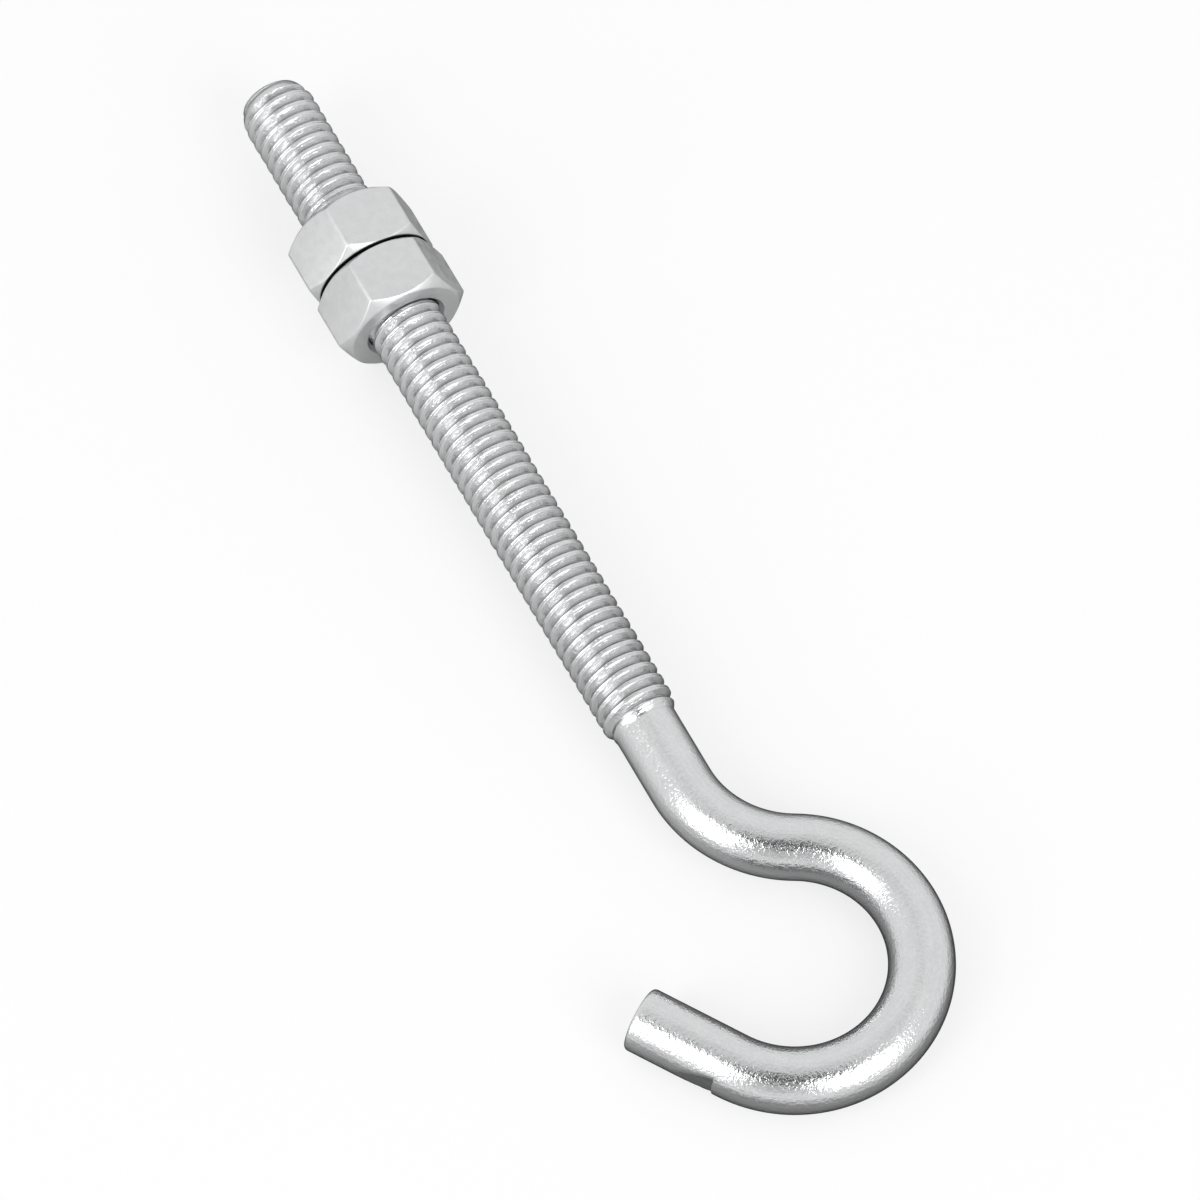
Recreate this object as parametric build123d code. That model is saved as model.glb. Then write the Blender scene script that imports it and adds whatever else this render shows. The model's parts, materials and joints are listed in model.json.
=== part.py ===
"""Hook bolt with two hex nuts: a 5/16-18 rod, threaded at one end and bent to an open hook at the other.

Each piece is made on the shank's own axes: X runs from the threaded tip towards the hook, and the
hook lies in the XY plane. The set is then laid down as it rests on a flat floor, with its origin on
the floor under the middle. Millimetres and degrees, +Z up.
"""
import os
from math import asin, atan2, degrees, hypot, radians, sin, sqrt, tan

from build123d import *

# Threaded end of the rod
thread_diameter = 7.85          # over the crests
thread_length = 82.5            # tip face to the end of the run-out
tip_diameter = 6.2              # end face, inside the rounded first turns
tip_taper_length = 2.2
runout_length = 2.2             # last turns, fading into the plain wire

# Plain wire and hook, with bend radii on the centre line
wire_diameter = 6.6
plain_length = 6.8              # straight wire between the run-out and the neck
neck_radius = 12.75
neck_angle = 61.0
loop_radius = 12.4
loop_angle = 208.5
tail_length = 10.2
tail_rim_chamfer = 0.35         # sheared end with its edge knocked off

# Dent that the bending tool's edge leaves in the outside of the tail
mark_setback = 9.6              # sheared end to the dent's step
mark_length = 4.4
mark_depth = 0.65               # at the step
mark_turn = -3.0                # from the plane of the hook towards its upper side

# Hex nuts, jammed against each other
nut_across_flats = 12.5
nut_thickness = 6.7
nut_face_diameter = 12.0        # flat ring inside the chamfer
nut_chamfer_angle = 40.0
bore_clearance = 0.05           # between thread and bore, on the radius
countersink_depth = 0.5
nut_setback = 17.1              # tip face to the upper nut
upper_nut_turn = 49.2           # from the plane of the hook to a corner
lower_nut_turn = 56.6

# Balance of the set on the floor
rest_roll = 0.44                # about the shank, to its steadiest side

# Worked out from the sizes above
thread_radius = thread_diameter / 2
wire_radius = wire_diameter / 2
neck_start = thread_length + plain_length
loop_far_side = neck_start + (neck_radius + loop_radius) * sin(radians(neck_angle)) + loop_radius
nut_bore_radius = thread_radius + bore_clearance
nut_corner_radius = nut_across_flats / sqrt(3)
nut_face_radius = nut_face_diameter / 2
nut_chamfer_depth = (nut_corner_radius - nut_face_radius) * tan(radians(nut_chamfer_angle))
nut_places = {
    "upper_nut": (nut_setback, upper_nut_turn),
    "lower_nut": (nut_setback + nut_thickness, lower_nut_turn),
}


def turned(profile):
    """Solid of revolution about the shank, from (position, radius) points."""
    return revolve(make_face(Polyline(*profile, close=True)), Axis.X)


def threaded_end():
    """Threaded length at its crest diameter, with the rounded tip and the run-out."""
    return turned([
        (0, 0),
        (0, tip_diameter / 2),
        (tip_taper_length, thread_radius),
        (thread_length - runout_length, thread_radius),
        (thread_length, wire_radius),
        (thread_length, 0),
    ])


def hook_line():
    """Centre line of the plain wire: shank, neck bend, loop the other way, straight tail."""
    shank = Line((thread_length, 0), (neck_start, 0))
    neck = JernArc(shank @ 1, shank % 1, neck_radius, neck_angle)
    loop = JernArc(neck @ 1, neck % 1, loop_radius, -loop_angle)
    tail = Line(loop @ 1, loop @ 1 + (loop % 1) * tail_length)
    return shank, neck, loop, tail


def tool_mark(tail):
    """Wedge that the tool's edge takes off the outside of the tail, deepest at its step."""
    outward = (tail % 1).rotate(Axis.Z, 90)
    normal = outward.rotate(Axis((0, 0, 0), tail % 1), mark_turn)
    step = Plane(tail @ 1 - (tail % 1) * mark_setback, x_dir=tail % 1, z_dir=normal)
    wedge = Polyline(
        (0, wire_radius - mark_depth),
        (mark_length, wire_radius),
        (mark_length, wire_diameter),
        (0, wire_diameter),
        close=True,
    )
    return step * extrude(Plane.XZ * make_face(wedge), wire_radius, both=True)


def hook_bolt():
    """The whole rod, which is one piece of wire."""
    shank, neck, loop, tail = hook_line()
    section = Plane(shank @ 0, z_dir=shank % 0) * Circle(wire_radius)
    wire = sweep(section, path=Wire([shank, neck, loop, tail]))
    sheared_end = wire.faces().filter_by(GeomType.PLANE).sort_by_distance(tail @ 1)[0]
    wire = chamfer(sheared_end.edges(), tail_rim_chamfer)
    return threaded_end() + (wire - tool_mark(tail))


def hex_nut(setback, turn):
    """Hex nut on the shank, chamfered on both faces, with a countersink at each end of its bore."""
    hexagon = RegularPolygon(nut_across_flats / 2, 6, major_radius=False, rotation=turn)
    barrel = turned([
        (0, 0),
        (0, nut_face_radius),
        (nut_chamfer_depth, nut_corner_radius),
        (nut_thickness - nut_chamfer_depth, nut_corner_radius),
        (nut_thickness, nut_face_radius),
        (nut_thickness, 0),
    ])
    bore = turned([
        (0, 0),
        (0, nut_bore_radius + countersink_depth),
        (countersink_depth, nut_bore_radius),
        (nut_thickness - countersink_depth, nut_bore_radius),
        (nut_thickness, nut_bore_radius + countersink_depth),
        (nut_thickness, 0),
    ])
    nut = (extrude(Plane.YZ * hexagon, nut_thickness) & barrel) - bore
    return Pos(X=setback) * nut


def resting_slope(setback, turn):
    """Slope of the shank with one nut's lowest corner and the far side of the loop on the floor."""
    corner_drop = max(nut_corner_radius * -sin(radians(turn + rest_roll + side)) for side in range(0, 360, 60))
    span = loop_far_side - (setback + nut_thickness - nut_chamfer_depth)
    return degrees(atan2(corner_drop, span) - asin(wire_radius / hypot(corner_drop, span)))


def laid_down(pieces):
    """The set on the floor, on whichever nut carries it and on the loop."""
    slope = max(resting_slope(*place) for place in nut_places.values())
    lean = Rot(Y=slope) * Rot(X=rest_roll)
    box = Compound([lean * piece for piece in pieces.values()]).bounding_box()
    to_origin = Pos(-box.center().X, -box.center().Y, -box.min.Z)
    return {node: to_origin * lean * piece for node, piece in pieces.items()}


pieces = {"hook_bolt": hook_bolt()}
for node, place in nut_places.items():
    pieces[node] = hex_nut(*place)

os.makedirs("parts", exist_ok=True)
for node, piece in laid_down(pieces).items():
    export_step(piece, f"parts/{node}.step")
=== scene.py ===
"""Zinc-plated hook bolt with two hex nuts, lying on a pale floor.

The pieces are modelled in millimetres on the shank's own axes: X runs from the threaded tip to the
hook, and the hook lies in the XY plane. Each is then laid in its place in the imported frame, in metres.
"""
import json
from math import atan2, ceil, cos, hypot, pi, radians, sin, tan

import bmesh
import bpy
from mathutils import Matrix, Vector, noise


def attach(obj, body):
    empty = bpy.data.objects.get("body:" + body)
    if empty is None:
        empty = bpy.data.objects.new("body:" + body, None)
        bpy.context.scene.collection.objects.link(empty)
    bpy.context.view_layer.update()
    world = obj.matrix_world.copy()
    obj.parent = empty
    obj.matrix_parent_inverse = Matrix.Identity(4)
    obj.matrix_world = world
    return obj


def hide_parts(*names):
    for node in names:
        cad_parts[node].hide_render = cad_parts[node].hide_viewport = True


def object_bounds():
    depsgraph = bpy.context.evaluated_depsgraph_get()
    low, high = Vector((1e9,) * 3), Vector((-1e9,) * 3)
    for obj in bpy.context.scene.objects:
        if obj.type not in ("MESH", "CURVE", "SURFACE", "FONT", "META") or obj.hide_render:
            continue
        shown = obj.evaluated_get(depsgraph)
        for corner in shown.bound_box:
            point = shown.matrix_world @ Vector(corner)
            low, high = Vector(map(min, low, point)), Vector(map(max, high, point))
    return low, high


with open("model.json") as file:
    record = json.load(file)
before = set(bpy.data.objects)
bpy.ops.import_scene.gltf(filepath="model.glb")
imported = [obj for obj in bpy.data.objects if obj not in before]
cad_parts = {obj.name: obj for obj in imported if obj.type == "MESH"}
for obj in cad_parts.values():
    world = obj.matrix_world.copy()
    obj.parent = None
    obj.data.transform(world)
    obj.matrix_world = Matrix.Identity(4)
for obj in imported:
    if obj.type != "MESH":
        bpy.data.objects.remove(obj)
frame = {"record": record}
cad_low, cad_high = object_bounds()


# ---- Hook bolt ----------------------------------------------------------------------------------
# One steel rod. Its thread is rolled, which squeezes the crests out past the plain wire, and the
# neck, loop and tail are bent cold from the same wire before the whole rod is zinc plated.

tip_to_mount = 2.2                  # the thread_end mount lies this far in from the tip
rest_roll = radians(0.44)           # of the set about the shank, as it lies
thread_end = next(mount for mount in frame["record"]["mounts"] if mount["name"] == "thread_end")
shank_way = -Vector(thread_end["axis"]).normalized()
level_way = Vector((0, 0, 1)).cross(shank_way).normalized()
hook_way = level_way * cos(rest_roll) + shank_way.cross(level_way) * sin(rest_roll)
tip = Vector(thread_end["pos_m"]) - shank_way * tip_to_mount / 1000
shank_axes = Matrix((shank_way, hook_way, shank_way.cross(hook_way))).transposed().to_4x4()
laid = Matrix.Translation(tip) @ shank_axes @ Matrix.Scale(0.001, 4)

pitch = 25.4 / 18
crest_radius = 3.925
root_depth = 0.775
crest_to_root = (                   # distance from the middle of a crest, depth below its lips
    (0.00, 0.045), (0.06, 0.035), (0.12, 0.0), (0.19, 0.015), (0.26, 0.10),
    (0.60, 0.69), (0.65, 0.755), (pitch / 2, root_depth),
)
steps_per_turn = 60
crest_waver = 0.035                 # slow change of the crests' height from place to place
crest_nicks = 0.030                 # quick change, on top of it
thread_length = 82.5
runout_length = 2.3                 # the last turns fade into the plain wire
runout_waver = 0.5                  # by how much the fading starts sooner or later round the wire
runout_scuff = 0.05
tip_radius = 3.1
tip_length = 2.7                    # the first turns rise to the full crest
tip_blend = 0.12                    # rounding where a risen crest meets the full one
tip_rim = 0.3                       # rounding between the first turn and the end face
tip_rim_rings = ((0.12, 0.02), (0.02, 0.16), (0, 0.36))     # place along the shank, inset from the rim
tip_dish_rings = ((0.02, 1.9), (0.1, 1.0), (0.13, 0.3))     # place along the shank, radius

wire_radius = 3.3
wire_start = thread_length + 0.35   # first ring of the plain wire, bridged to the last of the thread
wire_sides = 72
straight_steps = 8
neck_start = 89.3
neck_radius = 12.75
neck_angle = radians(61)
neck_steps = 30
loop_radius = 12.4
loop_angle = radians(208.5)
loop_steps = 96
tail_length = 10.2
tail_rim = 0.35                     # sheared end with its edge knocked off
tail_end_rings = ((0.04, 0.17), (0.15, 0.04), (0.35, 0.0), (1.2, 0.02), (2.9, 0.06))     # inset, setback
dent_start = 0.6                    # from the end of the loop to the step that the bending tool left
dent_length = 4.4
dent_steps = 10
dent_depth = 0.65                   # at the step
dent_blend = 0.08                   # rounding of the dent's borders
dent_turn = radians(-3)             # from the plane of the hook
past_dent_rings = (6.0, 7.2, 8.4, 9.3)

same_place = 0.001                  # points nearer than this to a plane or ring are on it
merge_distance = 0.002              # of doubles, where turns of the thread or rings of a nut meet

neck_middle = Vector((neck_start, neck_radius, 0))
neck_end = neck_middle + Vector((sin(neck_angle), -cos(neck_angle), 0)) * neck_radius
loop_middle = neck_end + Vector((sin(neck_angle), -cos(neck_angle), 0)) * loop_radius
tail_heading = neck_angle - loop_angle
tail_way = Vector((cos(tail_heading), sin(tail_heading), 0))
tail_out = Vector((-sin(tail_heading), cos(tail_heading), 0))
tail_start = loop_middle + tail_out * loop_radius
neck_run = neck_radius * neck_angle
loop_run = loop_radius * loop_angle


def begin(name, primitive, **settings):
    """A new piece from a primitive, open for editing, with nothing else selected."""
    bpy.ops.object.select_all(action="DESELECT")
    primitive(**settings)
    piece = bpy.context.object
    piece.name = piece.data.name = name
    bpy.ops.object.mode_set(mode="EDIT")
    return piece


def pick(piece, chosen):
    """Selects the vertices that the test chooses by their place."""
    bpy.ops.mesh.select_mode(type="VERT")
    bpy.ops.mesh.select_all(action="DESELECT")
    shape = bmesh.from_edit_mesh(piece.data)
    for vertex in shape.verts:
        vertex.select = chosen(vertex.co)
    shape.select_flush_mode()
    bmesh.update_edit_mesh(piece.data)


def reshape(piece, moved):
    """Moves each selected vertex to where the rule puts it."""
    shape = bmesh.from_edit_mesh(piece.data)
    for vertex in shape.verts:
        if vertex.select:
            vertex.co = moved(vertex.co)
    bmesh.update_edit_mesh(piece.data)


def on_ring(along, radius):
    """A rule that draws a vertex out to a ring about the shank."""
    def moved(place):
        out = Vector((0, place.y, place.z)).normalized() * radius
        return Vector((along, out.y, out.z))
    return moved


def drawn_on(piece, moved):
    """Extrudes the selected ring and puts the new one where the rule says."""
    bpy.ops.mesh.extrude_region_move()
    reshape(piece, moved)


def soft_least(first, second, blend):
    """The smaller of two sizes, with the change from one to the other rounded off."""
    share = max(blend - abs(first - second), 0) / blend
    return min(first, second) - share * share * blend / 4


def smooth_share(value, low, high):
    """How far a value has come from one limit to the other, from 0 to 1, eased at both ends."""
    share = min(max((value - low) / (high - low), 0), 1)
    return share * share * (3 - 2 * share)


def rolled(place):
    """A point of the even thread, with the tip rounded, the last turns faded out and the crests uneven."""
    around = atan2(place.z, place.y)
    radius = hypot(place.y, place.z)
    crest_share = max(radius - crest_radius + root_depth, 0) / root_depth
    radius += crest_waver * crest_share * noise.noise(Vector((place.x * 0.5, place.y * 0.7, place.z * 0.7)))
    radius += crest_nicks * crest_share * noise.noise(place * 2.6)
    rise = 1 - (1 - min(max(place.x, 0) / tip_length, 1)) ** 1.6
    radius = soft_least(radius, tip_radius + (crest_radius + tip_blend / 2 - tip_radius) * rise, tip_blend)
    ragged = place.x + runout_waver * noise.noise(Vector((cos(around) * 1.4, sin(around) * 1.4, 7.3)))
    faded = smooth_share(ragged, thread_length - runout_length, thread_length - 0.35)
    faded = max(faded, smooth_share(place.x, thread_length - 0.5, thread_length - 0.1))
    scuff = runout_scuff * (1 - abs(2 * faded - 1)) * noise.noise(place * 2.3)
    radius = radius + (wire_radius - radius) * faded + scuff
    return Vector((place.x, radius * cos(around), radius * sin(around)))


half_turn = [(away, crest_radius - depth) for away, depth in crest_to_root]
profile = [(-away, radius) for away, radius in reversed(half_turn[1:])] + half_turn
rod = begin("rod", bpy.ops.mesh.primitive_plane_add, size=0.1)
bpy.ops.mesh.merge(type="CENTER")
start = Vector((profile[0][0] - 1.5 * pitch, profile[0][1], 0))
reshape(rod, lambda place: start)
for (away, radius), (next_away, next_radius) in zip(profile, profile[1:]):
    step = (next_away - away, next_radius - radius, 0)
    bpy.ops.mesh.extrude_vertices_move(TRANSFORM_OT_translate={"value": step})
bpy.ops.object.mode_set(mode="OBJECT")
turns = rod.modifiers.new("turns", "SCREW")
turns.axis = "X"
turns.screw_offset = pitch
turns.iterations = ceil(thread_length / pitch) + 3
turns.steps = turns.render_steps = steps_per_turn
turns.use_merge_vertices = True
turns.merge_threshold = same_place
bpy.ops.object.modifier_apply(modifier="turns")
for vertex in rod.data.vertices:
    vertex.co = rolled(vertex.co)
bpy.ops.object.mode_set(mode="EDIT")
bpy.ops.mesh.select_all(action="SELECT")
bpy.ops.mesh.remove_doubles(threshold=merge_distance)
for cut, clear in ((tip_rim, "clear_inner"), (thread_length, "clear_outer")):
    bpy.ops.mesh.select_all(action="SELECT")
    bpy.ops.mesh.bisect(plane_co=(cut, 0, 0), plane_no=(1, 0, 0), **{clear: True})

# The end face, a little dished where the wire was sheared
pick(rod, lambda place: abs(place.x - tip_rim) < same_place)
for along, inset in tip_rim_rings:
    drawn_on(rod, on_ring(along, tip_radius - inset))
for along, radius in tip_dish_rings:
    drawn_on(rod, on_ring(along, radius))
bpy.ops.mesh.merge(type="CENTER")

# The plain wire: straight, bent up into the neck, then round the loop the other way to the tail
bpy.ops.mesh.select_all(action="DESELECT")
bpy.ops.mesh.primitive_circle_add(vertices=wire_sides, radius=wire_radius, location=(wire_start, 0, 0),
                                  rotation=(0, pi / 2, 0))
for step in range(straight_steps):
    along = ((neck_start - wire_start) / straight_steps, 0, 0)
    bpy.ops.mesh.extrude_region_move(TRANSFORM_OT_translate={"value": along})
bpy.ops.mesh.spin(steps=neck_steps, angle=-neck_angle, center=neck_middle, axis=(0, 0, 1))
bpy.ops.mesh.spin(steps=loop_steps, angle=loop_angle, center=loop_middle, axis=(0, 0, 1))
tail_rings = [dent_start - 0.1, dent_start]
tail_rings += [dent_start + dent_length * step / dent_steps for step in range(1, dent_steps + 1)]
tail_rings += [*past_dent_rings, tail_length - tail_rim]
for ring, next_ring in zip([0] + tail_rings, tail_rings):
    bpy.ops.mesh.extrude_region_move(TRANSFORM_OT_translate={"value": tail_way * (next_ring - ring)})


def tail_ring(run, radius):
    """A rule that draws a vertex out to a ring about the tail."""
    middle = tail_start + tail_way * run
    def moved(place):
        out = place - tail_start
        out -= tail_way * out.dot(tail_way)
        return middle + out.normalized() * radius
    return moved


for inset, back in tail_end_rings:
    drawn_on(rod, tail_ring(tail_length - back, wire_radius - inset))
bpy.ops.mesh.merge(type="CENTER")


def dented(place):
    """A point of the tail, pressed flat where the edge of the bending tool bit into it."""
    run = (place - tail_start).dot(tail_way)
    out = tail_out * cos(dent_turn) + Vector((0, 0, 1)) * sin(dent_turn)
    height = (place - tail_start).dot(out)
    share = (run - dent_start + same_place) / dent_length
    if share < 0 or share > 1:
        return place
    pressed = soft_least(height, wire_radius - dent_depth * (1 - share), dent_blend)
    return place + out * (min(pressed, height) - height)


pick(rod, lambda place: (place - tail_start).dot(tail_out) > 0)
reshape(rod, dented)
bpy.ops.mesh.select_all(action="DESELECT")
bpy.ops.mesh.select_non_manifold()
bpy.ops.mesh.bridge_edge_loops()
bpy.ops.mesh.select_all(action="SELECT")
bpy.ops.mesh.normals_make_consistent(inside=False)
bpy.ops.object.mode_set(mode="OBJECT")


def straightened(place):
    """Where a point of the rod was before the hook was bent, so that marks in the wire follow its bends."""
    on_shank = place.x < neck_start and place.y > -wire_radius - 1
    if on_shank:
        return place
    reach = wire_radius + 0.5
    from_neck = place - neck_middle
    neck_turn = atan2(from_neck.x, -from_neck.y)
    across = neck_radius - hypot(from_neck.x, from_neck.y)
    if 0 <= neck_turn <= neck_angle and abs(across) <= reach:
        return Vector((neck_start + neck_radius * neck_turn, across, place.z))
    tail_run = (place - tail_start).dot(tail_way)
    across = (place - tail_start).dot(tail_out)
    if tail_run >= 0 and abs(across) <= reach:
        return Vector((neck_start + neck_run + loop_run + tail_run, across, place.z))
    from_loop = place - loop_middle
    loop_turn = (neck_angle - atan2(-from_loop.x, from_loop.y)) % (2 * pi)
    across = hypot(from_loop.x, from_loop.y) - loop_radius
    return Vector((neck_start + neck_run + loop_radius * loop_turn, across, place.z))


drawn = rod.data.attributes.new("drawn", "FLOAT_VECTOR", "POINT")
for vertex, mark in zip(rod.data.vertices, drawn.data):
    mark.vector = straightened(vertex.co)


class Socket:
    """A node's socket. An expression on it adds the Math nodes that work it out."""

    def __init__(self, tree, link=None):
        self.tree = tree
        self.link = link

    def node(self, kind, inputs=(), output=0, **settings):
        """Any other node of the same tree: its settings, then the values or links of its sockets."""
        made = self.tree.nodes.new(kind)
        for name, value in settings.items():
            setattr(made, name, value)
        for name, value in dict(inputs).items():
            if isinstance(value, Socket):
                self.tree.links.new(value.link, made.inputs[name])
            else:
                made.inputs[name].default_value = value
        return Socket(self.tree, made.outputs[output] if made.outputs else None)

    def maths(self, operation, *values):
        """A Math node on sockets and numbers, for what has no operator."""
        return self.node("ShaderNodeMath", enumerate(values), operation=operation)

    def __add__(self, other):
        return self.maths("ADD", self, other)

    def __radd__(self, other):
        return self.maths("ADD", other, self)

    def __sub__(self, other):
        return self.maths("SUBTRACT", self, other)

    def __rsub__(self, other):
        return self.maths("SUBTRACT", other, self)

    def __mul__(self, other):
        return self.maths("MULTIPLY", self, other)

    def __rmul__(self, other):
        return self.maths("MULTIPLY", other, self)

    def __truediv__(self, other):
        return self.maths("DIVIDE", self, other)

    def __rtruediv__(self, other):
        return self.maths("DIVIDE", other, self)

    def __abs__(self):
        return self.maths("ABSOLUTE", self)

    def between(self, low, high):
        """0 below one value, 1 above the other, smooth in between."""
        return self.node("ShaderNodeMapRange", {"Value": self, "From Min": low, "From Max": high},
                         interpolation_type="SMOOTHSTEP")

    def blended(self, dark, light):
        """From one colour to another as this socket goes from 0 to 1."""
        return self.node("ShaderNodeMix", {0: self, 6: dark, 7: light}, output=2, data_type="RGBA")

    def grain(self, scale, detail=2.0, roughness=0.5):
        """Noise on this vector socket."""
        return self.node("ShaderNodeTexNoise", {"Vector": self, "Scale": scale, "Detail": detail,
                                                "Roughness": roughness})

    def stretched(self, x, y, z):
        """This vector socket with its axes scaled."""
        return self.node("ShaderNodeVectorMath", {0: self, 1: (x, y, z)}, operation="MULTIPLY")


def grey(level, warmth=0.0):
    """A linear grey, a touch blue or a touch warm."""
    return (level * (1 + warmth), level, level * (1 - warmth), 1)


at_grazing_angle = grey(0.15)       # plating mirrors less towards its outline
dull_wire = grey(0.78, -0.012)
shiny_wire = grey(0.91, -0.004)
# painted shade for the thread's roots, not a colour of the plating itself
painted_root_shade = grey(0.30, -0.02)


def plated(name, surface):
    """A metallic material. The surface function returns its colour, roughness and bumps."""
    material = bpy.data.materials.new(name)
    material.use_nodes = True
    material.node_tree.nodes.clear()
    tree = Socket(material.node_tree)
    colour, roughness, normal = surface(tree)
    shader = tree.node("ShaderNodeBsdfPrincipled", {
        "Base Color": colour, "Metallic": 1.0, "Roughness": roughness, "Normal": normal,
        "Specular Tint": at_grazing_angle})
    tree.node("ShaderNodeOutputMaterial", {"Surface": shader})
    return material


def wire_plating(tree):
    """Bright zinc: crystal speckle, lines drawn along the wire, rolling marks that follow the thread, and
    painted shade in the thread's roots.
    """
    place = tree.node("ShaderNodeAttribute", attribute_name="drawn", output=1)
    parts = [tree.node("ShaderNodeSeparateXYZ", {0: place}, output=axis) for axis in range(3)]
    along, across, up = parts
    turn = tree.maths("ARCTAN2", up, across) / (2 * pi)
    phase = tree.maths("FRACT", along / pitch - turn)
    from_root = 0.5 - abs(phase - 0.5)
    on_thread = 1 - along.between(thread_length - 1.2, thread_length - 0.2)
    root = (1 - from_root.between(0.03, 0.12)) * on_thread
    speckle = place.grain(2.7, 2.0, 0.6).between(0.36, 0.64)
    crystals = place.grain(6.5, 2.0, 0.6).between(0.38, 0.62)
    patches = place.grain(0.55, 2.0).between(0.3, 0.7)
    draw_lines = place.stretched(0.12, 3.2, 3.2).grain(1.0, 3.0, 0.6).between(0.3, 0.7)
    helix = tree.node("ShaderNodeCombineXYZ", {0: phase * 9, 1: across * 0.5 + along * 0.9, 2: up * 0.5})
    roll_lines = helix.grain(1.0, 3.0, 0.6).between(0.3, 0.7)
    lines = draw_lines + (roll_lines - draw_lines) * on_thread
    lightness = 0.3 * speckle + 0.2 * crystals + 0.2 * patches + 0.3 * lines
    # the thread's roots get painted shade in their colour, and are rougher
    colour = (root * 0.45).blended(lightness.blended(dull_wire, shiny_wire), painted_root_shade)
    roughness = 0.09 + 0.04 * patches + 0.04 * crystals + 0.03 * on_thread + 0.2 * root
    height = 0.016 * speckle + 0.004 * crystals + 0.005 * lines + 0.012 * roll_lines * on_thread
    normal = tree.node("ShaderNodeBump", {"Height": height, "Distance": 0.001, "Strength": 0.9})
    return colour, roughness, normal


rod.data.materials.clear()
rod.data.materials.append(plated("bright_zinc", wire_plating))
rod.data.transform(laid)
bpy.ops.object.shade_smooth_by_angle(angle=radians(50))
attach(rod, "bolt")
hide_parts("hook_bolt")


# ---- Hex nuts -----------------------------------------------------------------------------------
# Two half-inch finished nuts, cold formed from steel, chamfered on both faces, tapped and plated.
# They are run up against each other on the thread, with their corners a few degrees apart.

across_flats = 12.5
nut_thickness = 6.7
nut_sides = 144
face_radius = 6.0
chamfer_slope = tan(radians(40))
corner_rounding = 0.28              # of the six long edges
rim_rounding = 0.11                 # of every other edge
bore_radius = 3.975
countersink = 0.42
tap_depth = 0.32                    # the nut's own thread, cut outwards from the bore
tap_flare = 2.6                     # the higher, the narrower its grooves
tap_start = 0.3                     # from a face of the nut to where the grooves begin
tap_full = 0.7                      # and to where they are at their full depth
rows_per_pitch = 10
nut_setback = 17.1
nuts = (
    ("tip_side_nut", "upper_nut", nut_setback, radians(49.2)),
    ("hook_side_nut", "lower_nut", nut_setback + nut_thickness, radians(56.6)),
)


def nut_blank(name, setback, corner_turn):
    """One nut, drawn out ring by ring from its bore, round the outside and back, with its edges rounded."""
    def hex_radius(place):
        around = atan2(place.z, place.y) - corner_turn
        from_flat = (around + pi / 6) % (pi / 3) - pi / 6
        return across_flats / 2 / cos(pi / 6 - abs(from_flat))

    def face(near, radius):
        return on_ring(setback + (0 if near else nut_thickness), radius)

    def chamfer_edge(near):
        def moved(place):
            radius = hex_radius(place)
            depth = (radius - face_radius) * chamfer_slope
            return on_ring(setback + (depth if near else nut_thickness - depth), radius)(place)
        return moved

    def first_rim(place):
        around = atan2(place.y, place.x) + corner_turn
        return face(True, bore_radius + countersink)(Vector((0, cos(around), sin(around))))

    nut = begin(name, bpy.ops.mesh.primitive_circle_add, vertices=nut_sides, radius=bore_radius + countersink)
    reshape(nut, first_rim)
    drawn_on(nut, face(True, face_radius))
    drawn_on(nut, chamfer_edge(True))
    drawn_on(nut, chamfer_edge(False))
    drawn_on(nut, face(False, face_radius))
    drawn_on(nut, face(False, bore_radius + countersink))
    bpy.ops.mesh.select_mode(type="EDGE")
    bpy.ops.mesh.select_all(action="DESELECT")
    bpy.ops.mesh.edges_select_sharp(sharpness=radians(12))
    shape = bmesh.from_edit_mesh(nut.data)
    for edge in shape.edges:
        if edge.select and abs(edge.verts[0].co.x - edge.verts[1].co.x) < 1:
            edge.select = False
    bmesh.update_edit_mesh(nut.data)
    bpy.ops.mesh.bevel(offset=corner_rounding, segments=4, affect="EDGES", clamp_overlap=True)
    bpy.ops.mesh.select_all(action="DESELECT")
    bpy.ops.mesh.edges_select_sharp(sharpness=radians(20))
    bpy.ops.mesh.bevel(offset=rim_rounding, segments=3, affect="EDGES", clamp_overlap=True)
    return nut


def tap(nut, setback):
    """The countersinks and the threaded bore, which close the nut into one solid."""
    def tapped(along):
        def moved(place):
            around = atan2(place.z, place.y)
            phase = (along / pitch - around / (2 * pi)) % 1
            depth = tap_depth * (1 - min(abs(phase - 0.5) * tap_flare, 1))
            from_face = min(along - setback, setback + nut_thickness - along)
            fade = smooth_share(from_face, tap_start, tap_full)
            return on_ring(along, bore_radius + depth * fade)(place)
        return moved

    def at_far_rim(place):
        return place.x > setback + 1 and abs(hypot(place.y, place.z) - rim) < same_place

    rim = bore_radius + countersink
    pick(nut, at_far_rim)
    bore_end = setback + nut_thickness - countersink
    bore_length = nut_thickness - 2 * countersink
    rows = int(bore_length / (pitch / rows_per_pitch))
    for row in range(rows + 1):
        drawn_on(nut, tapped(bore_end - bore_length * row / rows))
    drawn_on(nut, on_ring(setback, rim))
    bpy.ops.mesh.select_mode(type="VERT")
    bpy.ops.mesh.select_all(action="SELECT")
    bpy.ops.mesh.remove_doubles(threshold=merge_distance)
    bpy.ops.mesh.normals_make_consistent(inside=False)
    bpy.ops.object.mode_set(mode="OBJECT")


dull_nut = grey(0.80, -0.008)
shiny_nut = grey(0.88, -0.004)
# The black in the seam is partly painted shade between the two nuts and partly dirt.
seam_shade_and_dirt = grey(0.015)
seam_half_width = 0.15              # black this far to each side of where the nuts meet
seam_fade = 0.27                    # and free of the painted shade and dirt from here on
seam_rim = 5.6                      # the black lies outside this radius, and is full from the next
seam_full = 5.8


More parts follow.
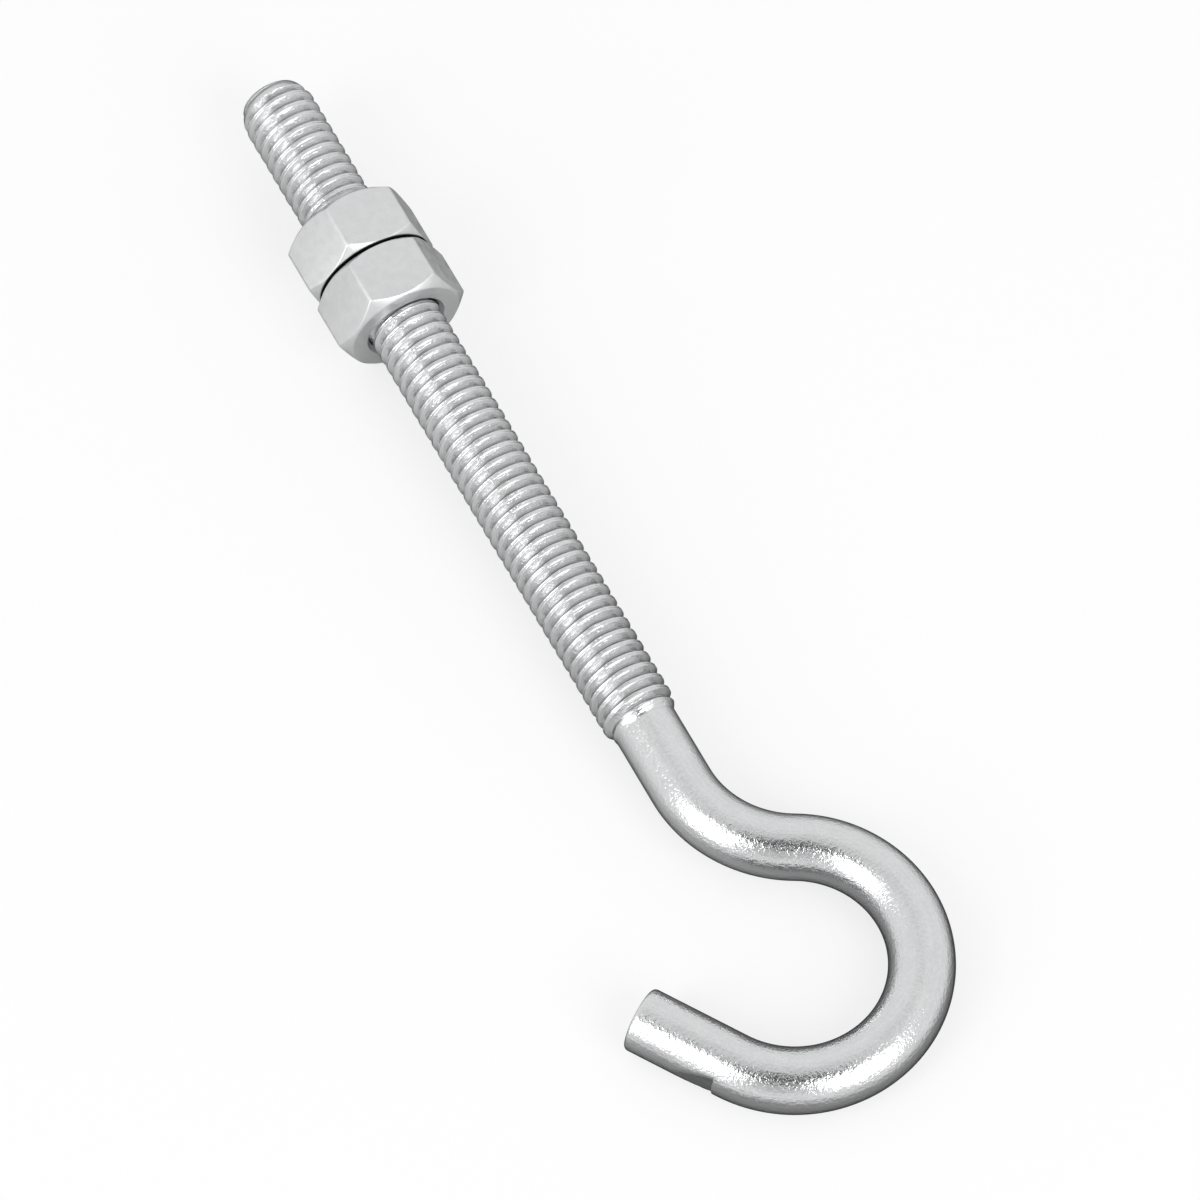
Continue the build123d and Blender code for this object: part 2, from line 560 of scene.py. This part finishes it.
def nut_plating(tree):
    """Satin zinc, black in the seam where the two nuts meet: partly painted shade between the nuts, partly
    dirt.
    """
    place = tree.node("ShaderNodeTexCoord", output="Object").stretched(1000, 1000, 1000)
    from_tip = tree.node("ShaderNodeVectorMath", {0: place, 1: tip * 1000}, operation="SUBTRACT")
    along, across, up = [
        tree.node("ShaderNodeVectorMath", {0: from_tip, 1: axis.to_3d()}, output=1, operation="DOT_PRODUCT")
        for axis in shank_axes.col[:3]]
    radius = tree.maths("SQRT", across * across + up * up)
    from_seam = abs(along - nut_setback - nut_thickness)
    # painted shade and dirt in the seam between the nuts, outside the bearing ring
    seam = (1 - from_seam.between(seam_half_width, seam_fade)) * radius.between(seam_rim, seam_full)
    mottle = place.grain(1.1, 3.0, 0.6).between(0.3, 0.7)
    speckle = place.grain(7.0, 2.0, 0.6).between(0.35, 0.65)
    lightness = 0.55 * mottle + 0.45 * speckle
    colour = seam.blended(lightness.blended(dull_nut, shiny_nut), seam_shade_and_dirt)
    roughness = 0.36 + 0.08 * mottle + 0.05 * speckle
    height = 0.004 * speckle + 0.004 * mottle
    normal = tree.node("ShaderNodeBump", {"Height": height, "Distance": 0.001, "Strength": 0.6})
    return colour, roughness, normal


satin_zinc = plated("satin_zinc", nut_plating)
for name, body, setback, corner_turn in nuts:
    nut = nut_blank(name, setback, corner_turn)
    tap(nut, setback)
    nut.data.materials.append(satin_zinc)
    nut.data.transform(laid)
    bpy.ops.object.shade_smooth_by_angle(angle=radians(24))
    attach(nut, body)
    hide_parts(body)


# ---- Floor, light and camera --------------------------------------------------------------------
# A plain pale floor inside a white tent with two softboxes, seen from above the hook's open side. The
# tent is open round the camera, which is what shows as the dark speckled patches on top of the bends.
# Where the metal mirrors the floor, it is painted grey, with painted shadow near the set.

middle = (cad_low + cad_high) / 2
floor_size = 6
white_floor = grey(0.93)
# the floor as only the metal's reflections see it: painted grey far off, painted shadow near the set
painted_reflection_far_grey = grey(0.66)
painted_shadow_by_tip = grey(0.62)
painted_shadow_by_hook = grey(0.26)
floor_glow = 0.7                    # share of plain white in what the camera sees


def floor_paint():
    """White to the camera with a faint shadow. Mirrored in the metal it is painted grey, with a painted
    shadow that is darkest near the set and towards the hook.

    Its pattern is measured in metres from under the middle of the set.
    """
    material = bpy.data.materials.new("pale_floor")
    material.use_nodes = True
    material.node_tree.nodes.clear()
    tree = Socket(material.node_tree)
    place = tree.node("ShaderNodeTexCoord", output="Object")
    parts = [tree.node("ShaderNodeSeparateXYZ", {0: place}, output=axis) for axis in range(2)]
    along, across = parts
    past_end = tree.maths("MAXIMUM", abs(along) - (cad_high - cad_low).x / 2, 0)
    past_side = tree.maths("MAXIMUM", abs(across) - (cad_high - cad_low).y / 2, 0)
    outside = tree.maths("SQRT", past_end * past_end + past_side * past_side)
    # painted shadow for reflections only: darkest near the set on the hook's side, lighter far away
    towards_hook = (along + 0.35 * across).between(-0.01, 0.06)
    near = towards_hook.blended(painted_shadow_by_tip, painted_shadow_by_hook)
    painted_reflection_shade = outside.between(0.002, 0.030).blended(near, painted_reflection_far_grey)
    is_mirrored = tree.node("ShaderNodeLightPath", output="Is Glossy Ray")
    is_seen = tree.node("ShaderNodeLightPath", output="Is Camera Ray")
    painted = tree.node("ShaderNodeBsdfDiffuse", {"Color": is_mirrored.blended(white_floor, painted_reflection_shade)})
    white = tree.node("ShaderNodeEmission", {"Color": grey(1)})
    lifted = tree.node("ShaderNodeMixShader", {0: is_seen * floor_glow, 1: painted, 2: white})
    tree.node("ShaderNodeOutputMaterial", {"Surface": lifted})
    return material


ground = begin("floor", bpy.ops.mesh.primitive_plane_add, size=floor_size)
bpy.ops.object.mode_set(mode="OBJECT")
ground.data.materials.append(floor_paint())

camera_azimuth = radians(-25.55)
camera_elevation = radians(60.95)
camera_roll = radians(-2.83)
camera_distance = 0.732
camera_lens = 220.08
sensor_width = 36
camera_aim = middle + Vector((0.0029, 0.0040, -0.0038))


def bearing(azimuth, elevation):
    """The direction towards a compass point and a height above the horizon."""
    return Vector((cos(azimuth) * cos(elevation), sin(azimuth) * cos(elevation), sin(elevation)))


camera = bpy.data.objects.new("camera", bpy.data.cameras.new("camera"))
bpy.context.scene.collection.objects.link(camera)
camera.data.lens = camera_lens
camera.data.sensor_width = sensor_width
camera.data.clip_start = 0.05
camera_way = bearing(camera_azimuth, camera_elevation)
camera.location = camera_aim + camera_way * camera_distance
camera_turn = camera_way.to_track_quat("Z", "Y").to_matrix() @ Matrix.Rotation(camera_roll, 3, "Z")
camera.rotation_euler = camera_turn.to_euler()
bpy.context.scene.camera = camera
bpy.context.scene.view_settings.view_transform = "Standard"

world = bpy.data.worlds.new("studio")
bpy.context.scene.world = world
world.use_nodes = True
world.node_tree.nodes.clear()
sky = Socket(world.node_tree)
way = sky.node("ShaderNodeTexCoord", output=0)


def spot(azimuth, elevation, inner, outer):
    """1 in a round patch of the sky, 0 outside it, with a soft edge between two radii, all in degrees."""
    middle_way = bearing(radians(azimuth), radians(elevation))
    near = sky.node("ShaderNodeVectorMath", {0: way, 1: middle_way}, output=1, operation="DOT_PRODUCT")
    return near.between(cos(radians(outer)), cos(radians(inner)))


tent_white = 0.78
dim_side = 0.28 * spot(-38, 36, 8, 23)
dim_top = 0.13 * spot(0, 90, 16, 27)
camera_opening = 0.88 * spot(-29, 66, 11, 22)
tent = (tent_white - dim_side - dim_top) * (1 - camera_opening)
backdrop = sky.node("ShaderNodeBackground", {"Color": (1, 1, 1, 1), "Strength": tent})
sky.node("ShaderNodeOutputWorld", {"Surface": backdrop})


lamp_distance = 1.2


def softbox(name, azimuth, elevation, wide, tall, brightness):
    """A soft rectangular lamp that faces the object, with its angular size in degrees and its brightness."""
    away = bearing(radians(azimuth), radians(elevation))
    lamp = bpy.data.lights.new(name, "AREA")
    lamp.shape = "RECTANGLE"
    lamp.size = 2 * lamp_distance * tan(radians(wide) / 2)
    lamp.size_y = 2 * lamp_distance * tan(radians(tall) / 2)
    lamp.energy = brightness * pi * lamp.size * lamp.size_y
    holder = bpy.data.objects.new(name, lamp)
    bpy.context.scene.collection.objects.link(holder)
    holder.location = middle + away * lamp_distance
    holder.rotation_euler = away.to_track_quat("Z", "Y").to_euler()
    holder.visible_camera = False


softbox("left_softbox", -79, 36, 23, 42, 3.0)
softbox("right_softbox", 12, 38, 33, 36, 2.8)
